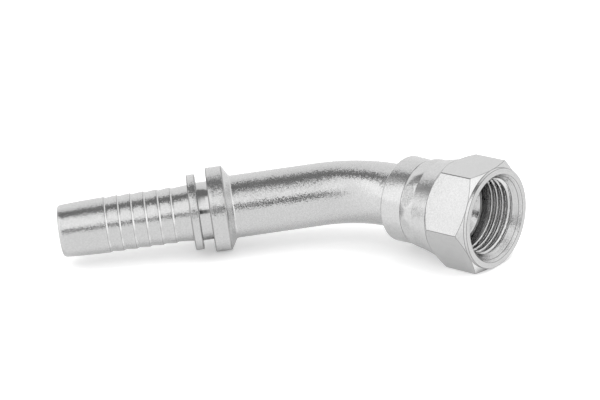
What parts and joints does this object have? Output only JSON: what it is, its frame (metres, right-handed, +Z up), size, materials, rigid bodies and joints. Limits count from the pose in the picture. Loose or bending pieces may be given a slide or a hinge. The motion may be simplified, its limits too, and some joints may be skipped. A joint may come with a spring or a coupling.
{
  "type": "crimp hose fitting",
  "caption": "Angled hose stem with a barbed tail, ferrule collars and a bent tube, and a crimped-on hexagon swivel nut over a cone seat, in bright zinc-plated steel.",
  "frame": {"origin": "centre of the footprint, on the surface that the fitting lies on", "axes": "+X along the swivel nut's axis and out of its mouth, +Z up as the fitting lies, the hose tail pointing back towards -X and -Y"},
  "size_m": [0.0972, 0.0708, 0.024],
  "materials": {
    "plated_stem": "bright zinc plate, fine turned satin",
    "plated_nut": "bright zinc plate, fine grained satin"
  },
  "bodies": {
    "stem": {"hose_stem": "plated_stem"},
    "nut": {"swivel_nut": "plated_nut"}
  },
  "joints": [
    {"name": "nut_swivel", "type": "hinge", "parent": "stem", "child": "nut", "pos_m": [0.03842, 0.02155, 0.012], "axis": [1, 0, 0], "continuous": true}
  ]
}
